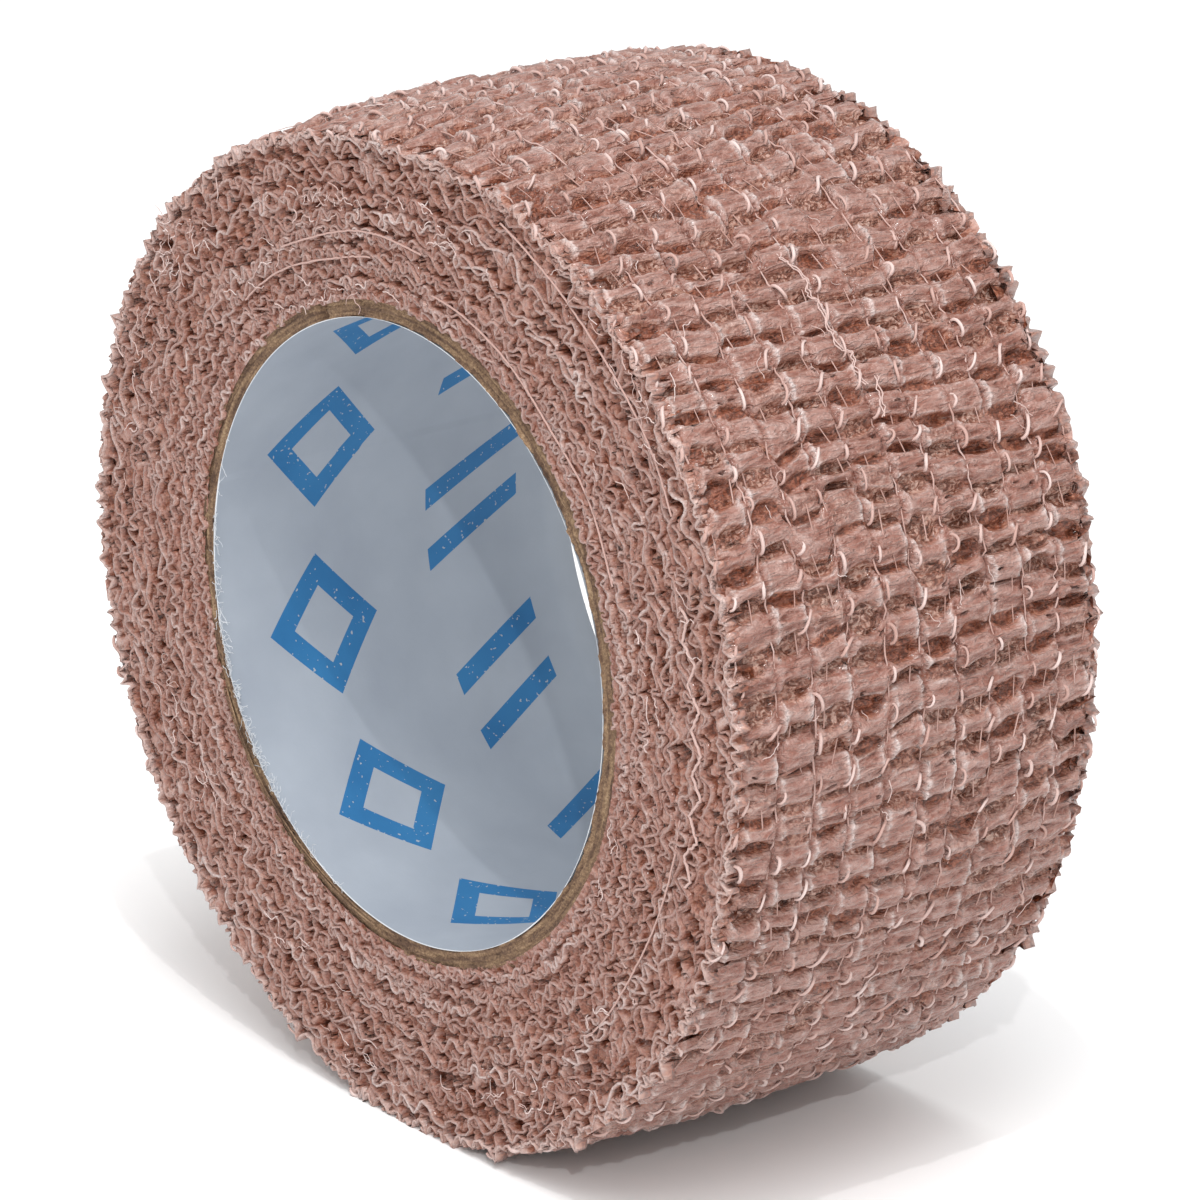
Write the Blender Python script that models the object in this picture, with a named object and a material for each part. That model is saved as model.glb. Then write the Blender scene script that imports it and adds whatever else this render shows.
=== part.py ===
"""Cohesive bandage roll, standing on its curved side.

A crinkled elastic bandage is wound on a paperboard tube that is lined with white paper.
The roll is one solid of its wound form: cross ribs stand on its curved side, and a
spiral of broad turns shows on both of its faces.

Frame: the origin is on the flat spot that the roll stands on, +Z is up, and the tube's
axis runs along Y. The front face is at -Y. Lengths are in metres.
"""

import math
import random

import bmesh
import bpy

MM = 0.001

# Driving dimensions
BANDAGE_WIDTH = 25.4 * MM
AXIS_HEIGHT = 28.8 * MM
BORE_RADIUS = 17.6 * MM
LINER_THICKNESS = 0.3 * MM
TUBE_WALL = 0.8 * MM
PIECE_GAP = 0.3 * MM
TUBE_LENGTH = 25.0 * MM
FLAT_SPOT_HALF_WIDTH = 3.6 * MM

# How far the rib tops stand from the axis, round the roll and across its width
FRONT, MIDDLE, BACK = 1, 2, 3
ROUNDNESS = (
    # degrees, front_mm, middle_mm, back_mm
    (0, 28.8, 29.0, 28.4),
    (30, 29.4, 29.8, 29.4),
    (60, 28.8, 29.5, 29.3),
    (90, 27.5, 28.7, 28.4),
    (120, 28.3, 29.2, 28.5),
    (150, 29.3, 29.5, 28.9),
    (180, 29.0, 29.4, 28.9),
    (210, 28.6, 29.1, 28.8),
    (240, 28.5, 29.0, 28.8),
    (270, 29.0, 29.2, 29.0),
    (300, 29.2, 29.7, 29.2),
    (330, 29.0, 29.4, 28.8),
)

# Cross ribs of the crinkled cloth, in rings of points across the roll's width
RIB_COUNT = 91
HOLLOW_SHARE = 0.34
WALL_SHARE = 0.08
RIB_DEPTH = 0.65 * MM
RIB_DEPTH_SPREAD = 0.3
RIB_PINCH = 0.15
RIB_SHIFT = 0.08
RIB_WANDER = 0.35
RIB_WANDER_WAVES = 5
RIB_ROWS = 9
RIM_DROP = 0.2 * MM

# Spiral of broad turns on each face, crinkled as the ribs' ends are
TURN_COUNT = 5
TRACKS_PER_TURN = 2
TURN_GROOVE_DEPTH = 0.55 * MM
TURN_HEIGHT_SPREAD = 0.25 * MM
TURN_CRINKLE = 0.18 * MM

TUBE_SIDES = 96
SMOOTH_BELOW_DEGREES = 30
SEED = 11

BORE_WALL_RADIUS = BORE_RADIUS + LINER_THICKNESS + PIECE_GAP + TUBE_WALL + PIECE_GAP
RIB_PITCH = math.tau / RIB_COUNT
POINTS_PER_RIB = 4
TRACKS = TURN_COUNT * TRACKS_PER_TURN


def clear_scene():
    for obj in list(bpy.data.objects):
        bpy.data.objects.remove(obj, do_unlink=True)


def surface(name, colour, roughness):
    """A plain Principled material; colour is linear red, green and blue."""
    material = bpy.data.materials.new(name)
    material.use_nodes = True
    shader = material.node_tree.nodes["Principled BSDF"]
    shader.inputs["Base Color"].default_value = (*colour, 1.0)
    shader.inputs["Roughness"].default_value = roughness
    shader.inputs["Metallic"].default_value = 0.0
    return material


def add_object(name, mesh_data, material):
    mesh = bpy.data.meshes.new(name)
    mesh_data.to_mesh(mesh)
    mesh_data.free()
    mesh.materials.append(material)
    mesh.shade_smooth()
    mesh.set_sharp_from_angle(angle=math.radians(SMOOTH_BELOW_DEGREES))
    obj = bpy.data.objects.new(name, mesh)
    bpy.context.scene.collection.objects.link(obj)
    return obj


def join_rings(mesh, ring, next_ring):
    """Quads between two closed rings of as many points."""
    for i in range(len(ring)):
        after = (i + 1) % len(ring)
        mesh.faces.new((ring[i], ring[after], next_ring[after], next_ring[i]))


# ---- Shape of the wound roll ----


def station_radius(angle, station):
    """Radius at one station of ROUNDNESS, eased from each row of it to the next."""
    steps = len(ROUNDNESS)
    place = (angle / math.tau * steps) % steps
    row = int(place)
    share = place - row
    ease = share * share * (3 - 2 * share)
    here = ROUNDNESS[row][station]
    there = ROUNDNESS[(row + 1) % steps][station]
    return (here + (there - here) * ease) * MM


def top_radius(angle, across):
    """Radius of the rib tops; across runs from -1 at the front face to 1 at the back."""
    middle = station_radius(angle, MIDDLE)
    edge = station_radius(angle, FRONT if across < 0 else BACK)
    return middle + (edge - middle) * across * across


def point(radius, angle, y):
    return (radius * math.cos(angle), y, AXIS_HEIGHT + radius * math.sin(angle))


def on_flat_spot(place):
    """Presses a point of the curved side onto the surface that the roll stands on."""
    x, y, z = place
    if z < AXIS_HEIGHT / 2 and abs(x) < FLAT_SPOT_HALF_WIDTH:
        return (x, y, 0.0)
    return (x, y, max(z, 0.0))


def rib_ring(row, rib_heights, rib_shifts, draw):
    """One ring of points across the ribs: the hollow before each rib, then its flat top."""
    across = -1 + 2 * row / (RIB_ROWS - 1)
    drop = RIM_DROP if abs(across) == 1 else 0.0
    y = across * (BANDAGE_WIDTH / 2 - drop)
    pinch = RIB_PINCH if row % 2 else 0.0
    ring = []
    for rib in range(RIB_COUNT):
        wander = RIB_WANDER * math.sin(RIB_WANDER_WAVES * rib * RIB_PITCH + 1.7 * across)
        height = rib_heights[rib] - pinch * draw.uniform(0.5, 1.5)
        hollow_end = HOLLOW_SHARE + rib_shifts[rib]
        for share, raised in (
            (0.0, 0.0),
            (hollow_end, 0.0),
            (hollow_end + WALL_SHARE, height),
            (1 - WALL_SHARE, height),
        ):
            angle = (rib + share + wander) * RIB_PITCH
            radius = top_radius(angle, across) - RIB_DEPTH * (1 - raised)
            ring.append(on_flat_spot(point(radius, angle, y)))
    return ring


def face_column(column, side, rim_point, draw):
    """Points of one face from the bore to the rim, where a column of them crosses it.

    The spiral's ridges and grooves move outward as they go round. So column 0, where one
    turn ends and the next begins, has TRACKS_PER_TURN more points than the others.
    """
    angle = column * RIB_PITCH
    rim_radius = math.hypot(rim_point[0], rim_point[2] - AXIS_HEIGHT)
    track_spacing = (rim_radius - BORE_WALL_RADIUS) / (TRACKS + TRACKS_PER_TURN)
    outward = TRACKS_PER_TURN * column / RIB_COUNT
    places = [point(BORE_WALL_RADIUS, angle, side * (BANDAGE_WIDTH / 2 - RIM_DROP))]
    for track in range(TRACKS if column else TRACKS + TRACKS_PER_TURN):
        turn, is_groove = divmod(track, TRACKS_PER_TURN)
        zigzag = TURN_CRINKLE * (-1) ** (column + turn) * draw.uniform(0.4, 1.6)
        radius = BORE_WALL_RADIUS + track_spacing * (track + 0.5 + outward) + zigzag
        sunk = TURN_GROOVE_DEPTH if is_groove else TURN_HEIGHT_SPREAD * draw.random()
        places.append(point(radius, angle, side * (BANDAGE_WIDTH / 2 - sunk)))
    return places


def add_face(mesh, columns, rim):
    """Fills one face of the roll between its columns, out to the rim's ribs."""
    for column, here in enumerate(columns):
        there = columns[(column + 1) % RIB_COUNT]
        new_tracks = len(there) - len(columns[1])
        for track in range(TRACKS):
            inner = track + new_tracks if track else 0
            far_side = there[inner : track + new_tracks + 2]
            mesh.faces.new(here[track : track + 2] + far_side[::-1])
        first = POINTS_PER_RIB * column
        rib = [rim[(first + step) % len(rim)] for step in range(POINTS_PER_RIB + 1)]
        mesh.faces.new(here[TRACKS:] + rib + there[-1:])


def wound_roll(material):
    """The bandage as one solid ring with cross ribs and a spiral on each face."""
    mesh = bmesh.new()
    draw = random.Random(SEED)
    rib_heights = [1 - RIB_DEPTH_SPREAD * draw.random() for _ in range(RIB_COUNT)]
    rib_shifts = [RIB_SHIFT * draw.uniform(-1, 1) for _ in range(RIB_COUNT)]
    rings = []
    for row in range(RIB_ROWS):
        places = rib_ring(row, rib_heights, rib_shifts, draw)
        rings.append([mesh.verts.new(place) for place in places])
    for ring, next_ring in zip(rings, rings[1:]):
        join_rings(mesh, ring, next_ring)

    bore_rings = []
    for side, rim in ((-1, rings[0]), (1, rings[-1])):
        columns = []
        for column in range(RIB_COUNT):
            places = face_column(column, side, rim[POINTS_PER_RIB * column].co, draw)
            columns.append([mesh.verts.new(place) for place in places])
        add_face(mesh, columns, rim)
        bore_rings.append([column[0] for column in columns])
    join_rings(mesh, *bore_rings)

    bmesh.ops.triangulate(mesh, faces=mesh.faces[:])
    bmesh.ops.recalc_face_normals(mesh, faces=mesh.faces[:])
    return add_object("bandage_roll", mesh, material)


# ---- Core ----


def paper_tube(name, inner_radius, thickness, material):
    """A tube round the core's axis, from the four rings of points at its edges."""
    mesh = bmesh.new()
    outer_radius = inner_radius + thickness
    corners = (
        (inner_radius, -TUBE_LENGTH / 2),
        (outer_radius, -TUBE_LENGTH / 2),
        (outer_radius, TUBE_LENGTH / 2),
        (inner_radius, TUBE_LENGTH / 2),
    )
    angles = [math.tau * side / TUBE_SIDES for side in range(TUBE_SIDES)]
    rings = [
        [mesh.verts.new(point(radius, angle, y)) for angle in angles]
        for radius, y in corners
    ]
    for ring, next_ring in zip(rings, rings[1:] + rings[:1]):
        join_rings(mesh, ring, next_ring)
    bmesh.ops.recalc_face_normals(mesh, faces=mesh.faces[:])
    return add_object(name, mesh, material)


def main():
    clear_scene()
    cloth = surface("tan_bandage", (0.51, 0.28, 0.22), 0.75)
    board = surface("kraft_board", (0.30, 0.20, 0.11), 0.9)
    paper = surface("white_paper", (0.76, 0.78, 0.81), 0.55)
    wound_roll(cloth)
    tube_inner = BORE_RADIUS + LINER_THICKNESS + PIECE_GAP
    paper_tube("core_tube", tube_inner, TUBE_WALL, board)
    paper_tube("core_liner", BORE_RADIUS, LINER_THICKNESS, paper)


main()
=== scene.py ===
"""Looks of a cohesive bandage roll: crinkled tan cloth wound on a lined paperboard tube.

The roll stands on its curved side at the frame's origin. Its tube runs along Y, and the
face that the camera sees is at -Y. Shapes are worked out in millimetres, as angles
round the tube's axis, distances from it and places along Y, and become metres last.
"""

import math
from functools import partial

import bpy
import numpy as np
from mathutils import Matrix, Vector, noise


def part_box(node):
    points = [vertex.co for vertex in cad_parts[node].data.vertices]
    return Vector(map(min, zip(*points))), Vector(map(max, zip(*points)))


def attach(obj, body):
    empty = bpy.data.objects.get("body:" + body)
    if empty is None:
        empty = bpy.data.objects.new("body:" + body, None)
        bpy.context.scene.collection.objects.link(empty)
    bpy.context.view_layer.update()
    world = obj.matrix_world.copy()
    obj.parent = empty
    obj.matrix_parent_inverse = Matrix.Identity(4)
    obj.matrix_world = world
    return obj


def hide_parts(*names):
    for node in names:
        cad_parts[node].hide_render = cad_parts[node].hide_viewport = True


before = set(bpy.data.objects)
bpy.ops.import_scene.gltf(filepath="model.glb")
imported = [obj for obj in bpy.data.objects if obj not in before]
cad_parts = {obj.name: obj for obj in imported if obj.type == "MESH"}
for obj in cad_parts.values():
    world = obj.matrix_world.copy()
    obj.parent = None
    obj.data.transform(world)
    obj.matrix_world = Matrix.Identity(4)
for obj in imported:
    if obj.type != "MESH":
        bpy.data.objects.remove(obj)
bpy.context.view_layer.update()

MM = 0.001
SEED = 7

# ---- The frame's sizes, in mm ----
ROLL_LOW, ROLL_HIGH = (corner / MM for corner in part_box("bandage_roll"))
TUBE_LOW, TUBE_HIGH = (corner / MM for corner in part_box("core_tube"))
LINER_LOW, LINER_HIGH = (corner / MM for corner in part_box("core_liner"))
AXIS_Z = (TUBE_LOW.z + TUBE_HIGH.z) / 2
HALF_WIDTH = (ROLL_HIGH.y - ROLL_LOW.y) / 2
HALF_TUBE = (TUBE_HIGH.y - TUBE_LOW.y) / 2
TUBE_RADIUS = (TUBE_HIGH.x - TUBE_LOW.x) / 2
LINER_THICKNESS = 0.3
LINER_RADIUS = (LINER_HIGH.x - LINER_LOW.x) / 2 - LINER_THICKNESS

# ---- Crinkled cloth, in mm; shares are of the pitch from rib to rib ----
RIBS = 91
RIB_HEIGHT = 0.72
FIRST_HOLLOW = 0.17
WANDER = 0.35
WANDER_WAVES = 5
WALL_SHARE = 0.08
THREADS = 11
EDGE_TO_THREAD = 0.5
OUTER_THREAD = HALF_WIDTH - EDGE_TO_THREAD
THREAD_SPACING = 2 * OUTER_THREAD / (THREADS - 1)
THREAD_LINES = np.linspace(-OUTER_THREAD, OUTER_THREAD, THREADS)
THREAD_SAMPLES = 5
THREAD_GRIP = 0.24
HOOK_SHARE = 0.78
HOOK_ROOT = 0.3
WINDOW_REACH = 0.42
WEB_SAMPLES = 17
WEB_BANDS = 3
RIM_REACH = 0.5
DRIFT = 0.12
CREASE = 0.55
SLITS = 800
# Rows of the web from one thread to the next, closer together by the threads
WEB_ROWS = (0, 0.07, 0.14, 0.21, 0.29, 0.39, 0.5, 0.61, 0.71, 0.79, 0.86, 0.93)
# Beside each thread the web stands up in a collar, painted paler as a painted highlight, and at the
# thread it is pinched in, with painted shade in the pinch
COLLAR = 0.34
COLLAR_WIDTH = 0.16
COLLAR_LIFT = 0.16
PINCH_WIDTH = 0.12

# ---- Turns on the faces, in mm ----
TURNS = 8.3
TURN_GROWTH = 0.088
PLIES = 2
WOUND_DEPTH = 9.6
FOAM_ROWS = 1.9
PLY_THICKNESS = 0.13
PLY_DEPTH = 0.8
CLOTH_START = -0.42
CLOTH_LEAN = 0.2
LEAN_TOWARDS = 205  # degrees
UNDER_RIM = 0.55
CRINKLE_NEAR_TUBE = 0.66
CRINKLE_PER_TURN = 0.15
FOAM_CELLS = 175
COLUMNS_PER_RING = 14
FIBRE_TUFTS = 26

# ---- Threads and strands that stray, as degrees round and mm across or from the axis ----
CRIMPED_THREAD = (
    (53.7, -0.6), (52.6, -1.1), (51.5, -0.8), (49.3, -0.3), (47.5, -0.8), (46.4, -0.4),
    (43.4, -0.7), (41.0, -0.7), (40.2, 0.0), (38.7, -0.3), (36.6, 0.0),
)
CRIMPED_LOOP = ((37.3, 0.8), (35.1, 0.6), (33.0, 0.3))
LOOSE_FLAP = (54.0, 11.3)
SPLIT_PLY = ((205, 18.2), (224, 18.1), (244, 17.9), (262, 17.7))
PALE_ZIGZAG = (19, -16, 25.6)
ZIGZAG_PITCH = 2.4
TAUT_STRANDS = ((29, 70, 27.0), (23, 81, 20.4), (84, 118, 22.3), (96, 131, 21.0), (-48, -8, 24.4))

# ---- Core and the lining's print, in mm ----
PAPER_EDGE = 0.045
END_WALL = 2.5  # of the tube's outside; the cloth hides the rest
LINER_SEAM = 165.3  # degrees
NOTCH = 113  # degrees
PRINT_REPEATS = 10
DIAMOND_ROW = -5.6
DIAMOND_REACH = 3.2
DIAMOND_SLOPE = 1.1
DIAMOND_STROKE = 1.872  # along the row
BAR_ROW = 5.6
BAR_APART = 3.6
BAR_HEIGHT = 6.6
BAR_STROKE = 1.3

# ---- Camera, as fitted to the photograph's outlines ----
CAMERA_AZIMUTH = 51.62
CAMERA_ELEVATION = 19.19
CAMERA_DISTANCE = 385.6
CAMERA_RIGHT = 0.96
CAMERA_UP = -0.61
CAMERA_LENS = 208.6


def smooth(share):
    return share * share * (3 - 2 * share)


def place(angle, radius, y):
    """Points in mm from angles in radians round the axis, radii and places along Y."""
    angle, radius, y = np.broadcast_arrays(angle, radius, y)
    return np.stack([radius * np.cos(angle), y, AXIS_Z + radius * np.sin(angle)], axis=-1)


def lattice_noise(u, v, cells_u, cells_v, rng):
    """Smooth noise from -1 to 1 over u and v from 0 to 1, which repeats round u."""
    grid = rng.uniform(-1, 1, (cells_u, cells_v + 2))
    x = (u % 1.0) * cells_u
    y = np.clip(v, 0, 1) * cells_v
    i = np.floor(x).astype(int) % cells_u
    j = np.floor(y).astype(int)
    after = (i + 1) % cells_u
    across, along = smooth(x - np.floor(x)), smooth(y - np.floor(y))
    low = grid[i, j] * (1 - across) + grid[after, j] * across
    high = grid[i, j + 1] * (1 - across) + grid[after, j + 1] * across
    return low * (1 - along) + high * along


def creases(points, size, stretch, seed):
    """Sharp creases from -1 to 1 at points in mm; size apart, and stretch times longer along Y."""
    spots = points * (np.array((1, 1 / stretch, 1)) / size) + seed
    flat = spots.reshape(-1, 3).tolist()
    values = np.array([noise.noise(spot) for spot in flat]).reshape(points.shape[:-1])
    return 1 - 4 * np.abs(values)


def foam(angle, turn, seed):
    """A face's crinkles as a foam: distance from its walls, and a number from 0 to 1 a cell."""
    ring = FOAM_CELLS / math.tau
    spots = np.stack([ring * np.cos(angle), ring * np.sin(angle), turn * FOAM_ROWS + seed], axis=-1)
    near = [noise.voronoi(spot) for spot in spots.reshape(-1, 3).tolist()]
    walls = np.array([reach[1] - reach[0] for reach, _ in near])
    middles = np.array([tuple(cells[0]) for _, cells in near])
    # A number that looks random, worked out from each cell's middle
    lots = (np.sin(middles @ (12.9, 78.2, 37.7)) * 43758.5) % 1.0
    return walls.reshape(angle.shape), lots.reshape(angle.shape)


# ---- Meshes ----


def mesh_piece(name, points, faces, material, marks):
    """A smooth mesh that rides on the frame; marks are its named attributes, a number a point."""
    used, packed = np.unique(faces, return_inverse=True)
    mesh = bpy.data.meshes.new(name)
    mesh.from_pydata((points[used] * MM).tolist(), [], packed.reshape(faces.shape).tolist())
    for mark, values in marks.items():
        mesh.attributes.new(mark, "FLOAT", "POINT").data.foreach_set("value", values[used])
    mesh.materials.append(material)
    mesh.shade_smooth()
    piece = bpy.data.objects.new(name, mesh)
    bpy.context.scene.collection.objects.link(piece)
    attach(piece, "root")
    return piece


def grid_faces(columns, rows, first=0, closed=True, ring=False):
    """Quads over a grid of points; closed joins its last column to its first, ring its rows."""
    index = first + np.arange(columns * rows).reshape(columns, rows)
    if ring:
        index = np.concatenate([index, index[:, :1]], axis=1)
    here = index if closed else index[:-1]
    there = np.roll(index, -1, axis=0) if closed else index[1:]
    return np.stack([here[:, :-1], there[:, :-1], there[:, 1:], here[:, 1:]], axis=-1).reshape(-1, 4)


def grid_piece(name, points, material, closed=True, **marks):
    """A sheet over a grid of points; each mark is a number, or a grid of them."""
    spread = {
        mark: np.broadcast_to(values, points.shape[:2]).reshape(-1) for mark, values in marks.items()
    }
    faces = grid_faces(*points.shape[:2], closed=closed)
    return mesh_piece(name, points.reshape(-1, 3), faces, material, spread)


def tubes_piece(name, paths, radii, material, sides=4, closed=False, tint=1.0, mark="tint"):
    """Round tubes along paths of as many points each. Radii and tint are one number, or a
    column or grid of them by path and point; mark is the attribute that tint goes into."""
    count, steps = paths.shape[:2]
    radii = np.broadcast_to(radii, (count, steps))
    if closed:
        tangent = np.roll(paths, -1, axis=1) - np.roll(paths, 1, axis=1)
    else:
        tangent = np.gradient(paths, axis=1)
    outward = (paths - (0, 0, AXIS_Z)) * (1, 0.3, 1)
    side = np.cross(tangent, outward)
    side /= np.linalg.norm(side, axis=-1, keepdims=True) + 1e-9
    normal = np.cross(side, tangent)
    normal /= np.linalg.norm(normal, axis=-1, keepdims=True) + 1e-9
    turn = math.tau * np.arange(sides) / sides
    ring = normal[:, :, None] * np.cos(turn)[:, None] + side[:, :, None] * np.sin(turn)[:, None]
    points = paths[:, :, None] + ring * radii[:, :, None, None]
    faces = [
        grid_faces(steps, sides, first=path * steps * sides, closed=closed, ring=True)
        for path in range(count)
    ]
    tints = np.repeat(np.broadcast_to(tint, (count, steps)).reshape(-1), sides)
    return mesh_piece(name, points.reshape(-1, 3), np.concatenate(faces), material, {mark: tints})


# ---- Outline, from the frame's roll ----


OUTLINE_STEPS = 36


def frame_outline():
    """Radius of the frame's rib tops at OUTLINE_STEPS angles, by front, middle and back."""
    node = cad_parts["bandage_roll"]
    points = np.array([node.matrix_world @ vertex.co for vertex in node.data.vertices]) / MM
    angle = np.arctan2(points[:, 2] - AXIS_Z, points[:, 0]) % math.tau
    radius = np.hypot(points[:, 0], points[:, 2] - AXIS_Z)
    step = np.round(angle / math.tau * OUTLINE_STEPS).astype(int) % OUTLINE_STEPS
    across = points[:, 1] / HALF_WIDTH
    outline = np.zeros((OUTLINE_STEPS, 3))
    for station, chosen in enumerate((across < -0.95, abs(across) < 0.2, across > 0.95)):
        np.maximum.at(outline[:, station], step[chosen], radius[chosen])
    # The flat spot has no points of its own in its middle
    outline[outline == 0] = AXIS_Z
    return (np.roll(outline, 1, axis=0) + 2 * outline + np.roll(outline, -1, axis=0)) / 4


OUTLINE = frame_outline()


def rib_top_radius(angle, across):
    """Radius of the rib tops; across runs from -1 at the front face to 1 at the back."""
    turn = (angle / math.tau * OUTLINE_STEPS) % OUTLINE_STEPS
    step = np.floor(turn).astype(int) % OUTLINE_STEPS
    share = smooth(turn - np.floor(turn))[..., None]
    stations = OUTLINE[step] * (1 - share) + OUTLINE[(step + 1) % OUTLINE_STEPS] * share
    edge = np.where(across < 0, stations[..., 0], stations[..., 2])
    return stations[..., 1] + (edge - stations[..., 1]) * across**2


def near_rim(y):
    """From 1 at the roll's rims to 0 inside them."""
    return np.exp(-(((HALF_WIDTH - np.abs(y)) / RIM_REACH) ** 2))


def thread_spot(y):
    """Places along Y as numbers of threads, from 0 at the first one."""
    return (y + HALF_WIDTH - EDGE_TO_THREAD) / THREAD_SPACING


def rested(points):
    """Presses whatever would hang below the surface that the roll stands on up to it."""
    points[..., 2] = np.maximum(points[..., 2], 0.01)
    return points


# ---- The outer turn's crinkled web ----


class Web:
    """The crinkled outer turn: ribs that stand in short lengths between the threads, with
    hollows of crumpled film between them. Its tables hold one value for each length of a
    rib, or for each knot, where a rib crosses a thread."""

    def __init__(self, rng):
        cells = (RIBS, THREADS + 1)
        knots = (RIBS, THREADS)
        rib = rng.normal(0, 0.05, (RIBS, 1))
        self.height = np.clip(1 + rib + rng.normal(0, 0.1, cells), 0.6, 1.2)
        self.tilt = rng.normal(0, 0.12, cells)
        self.sag = rng.uniform(-0.08, 0.14, cells)
        narrow = rng.random(cells) < 0.24
        self.window = np.where(narrow, rng.uniform(0.06, 0.13, cells), rng.uniform(0.19, 0.32, cells))
        self.window[:, (0, -1)] = 0.03
        self.seam = rng.uniform(-0.12, 0.04, cells)
        self.flare = rng.normal(0, 0.08, cells)
        stray = rng.normal(0, 1, cells)
        self.shift = 0.1 * (stray + np.roll(stray, 1, axis=0) + np.roll(stray, 2, axis=0))
        self.slant = rng.normal(0, 0.1, cells)
        full = rng.random(cells) < 0.1
        self.fill = np.where(full, rng.uniform(0.4, 0.7, cells), rng.uniform(0, 0.2, cells))
        self.film = np.where(rng.random(cells) < 0.6, rng.uniform(0.5, 1.0, cells), 0.0)
        self.film_on_rib = np.where(rng.random(cells) < 0.1, 0.35, 0.0)
        self.scallop = rng.uniform(0.2, 1.1, cells)
        self.knot_height = rng.normal(0.68, 0.14, knots)
        self.caps = np.clip(rng.uniform(-0.5, 1.1, (2, *cells)), 0, 1)
        self.knot_fill = rng.uniform(0.0, 0.4, knots)
        self.seeds = rng.integers(0, 10**6, 2)

    def across(self, cells, y, tilt=None, knots=None):
        """Values of a table at each place y: one a length, eased to the knots at its threads."""
        spot = thread_spot(y)
        cell = np.floor(spot).astype(int) + 1
        knot = np.clip(np.round(spot), 0, THREADS - 1).astype(int)
        grip = np.exp(-(((spot - knot) * THREAD_SPACING / THREAD_GRIP) ** 2))
        values = cells[:, cell]
        if tilt is not None:
            values = values + tilt[:, cell] * (spot - cell + 0.5)
        if knots is None:
            knots = (cells[:, :-1] + cells[:, 1:]) / 2
        return (values * (1 - grip) + knots[:, knot] * grip)[:, None, :]

    def noise(self, turn, share, cells_u, cells_v, seed):
        return lattice_noise(turn, share, cells_u, cells_v, np.random.default_rng(self.seeds[seed]))

    def surface(self, places, samples):
        """Angle, radius, y and the marks of the web, samples points a rib."""
        y = np.asarray(places, dtype=float)
        phase = (np.arange(samples) / samples)[None, :, None]
        out = np.abs(phase - 0.5)
        nothing = np.zeros((RIBS, THREADS))
        # Ribs stand between hollows, which are widest midway from thread to thread
        spot = thread_spot(y)
        along = (spot - np.floor(spot) - 0.5) / WINDOW_REACH
        arch = np.clip(1 - np.abs(along) ** 2.5, 0, 1) ** 0.6
        cell = np.floor(spot).astype(int) + 1
        window = (self.window + self.flare)[:, cell] * arch
        half = 0.5 - np.maximum(window, 0)[:, None, :] + self.across(self.seam, y) * (arch == 0)
        top = smooth(np.clip((half + WALL_SHARE / 2 - out) / WALL_SHARE, 0, 1))
        # Their tops are dished, sag between threads and are scalloped at the rims
        dish = np.clip(1 - (out / half) ** 2, 0, 1)
        height = self.across(self.height, y, self.tilt, self.knot_height)
        height = height - 0.5 * (1 - dish) - self.across(self.sag, y) * dish
        crest = 1 - np.abs(np.sin(math.tau * (phase + self.across(self.slant, y))))
        from_thread = np.abs(spot - np.round(spot)) * THREAD_SPACING
        first_half = spot - np.floor(spot) < 0.5
        cap = np.where(first_half, self.caps[0][:, cell], self.caps[1][:, cell])
        cap = (cap * np.exp(-(((from_thread - COLLAR) / COLLAR_WIDTH) ** 2)))[:, None, :] * top
        painted_pinch_shade = np.exp(-((from_thread / PINCH_WIDTH) ** 2)) * top
        height = height + COLLAR_LIFT * cap
        height = height + near_rim(y) * (self.across(self.scallop, y) * crest - 0.5)
        # A hollow takes its latex and film from the rib after it, so that its halves agree
        shift = self.across(self.shift, y, self.slant)
        fill = self.across(self.fill, y, None, self.knot_fill)
        film = self.across(self.film, y, None, nothing)
        next_shift, next_fill, next_film = (np.roll(table, -1, axis=0) for table in (shift, fill, film))
        fill = np.where(phase < 0.5, fill, next_fill)
        film = np.where(phase < 0.5, film, next_film) * (1 - top) * (1 - fill)
        # Painted shade and painted glow in the hollows: the deep mark turns them darker and warmer
        deep = 0.75 * (1 - top) * (1 - 0.8 * film)
        film = film + self.across(self.film_on_rib, y, None, nothing) * dish

        # Where that comes to lie round the roll and across it
        turn = np.arange(RIBS)[:, None, None] + FIRST_HOLLOW + phase
        turn = turn + shift * (1 - phase) + next_shift * phase
        share = np.broadcast_to(y / HALF_WIDTH / 2 + 0.5, turn.shape)
        around = turn / RIBS
        sway = np.sin(WANDER_WAVES * around * math.tau + 3.4 * (share - 0.5))
        angle = (turn + WANDER * sway + DRIFT * self.noise(around, share, 40, 6, 0)) * math.tau / RIBS
        y = y + DRIFT * self.noise(around, share, 90, 11, 1) * np.sin(math.pi * share)

        lift = RIB_HEIGHT * (fill + (height - fill) * top)
        base = rib_top_radius(angle, y / HALF_WIDTH) - RIB_HEIGHT
        points = place(angle, base + lift, y)
        # Creases, then rims round the hollows and feet under the ribs, for the painted light below
        rough = creases(points, CREASE, 4.5, 3.7)
        fine = creases(points, CREASE / 2, 3, 9.1)
        rim = np.exp(-(((out - half + 0.03) / 0.05) ** 2)) * (arch > 0)
        lift = lift + rough * (0.14 - 0.05 * top) + fine * (0.09 - 0.04 * top) + 0.06 * rim
        painted_foot_shade = np.exp(-(((out - half - 0.06) / 0.04) ** 2)) * (phase < 0.5)
        # Painted highlights on the rib tops, rims, crease ridges and raised collars, and painted shade in
        # the feet under the ribs, the crease valleys and the pinches
        tint = (
            0.14 + 0.28 * top + 0.2 * rim + 0.12 * rough + 0.1 * fine
            + 0.5 * cap - 0.3 * painted_foot_shade - 0.22 * painted_pinch_shade
        )
        shape = (RIBS * samples, len(places))
        marks = (np.clip(mark, 0, 1) for mark in (tint, film, deep))
        return [grid.reshape(shape) for grid in (angle, base + lift, y, *marks)]

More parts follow.
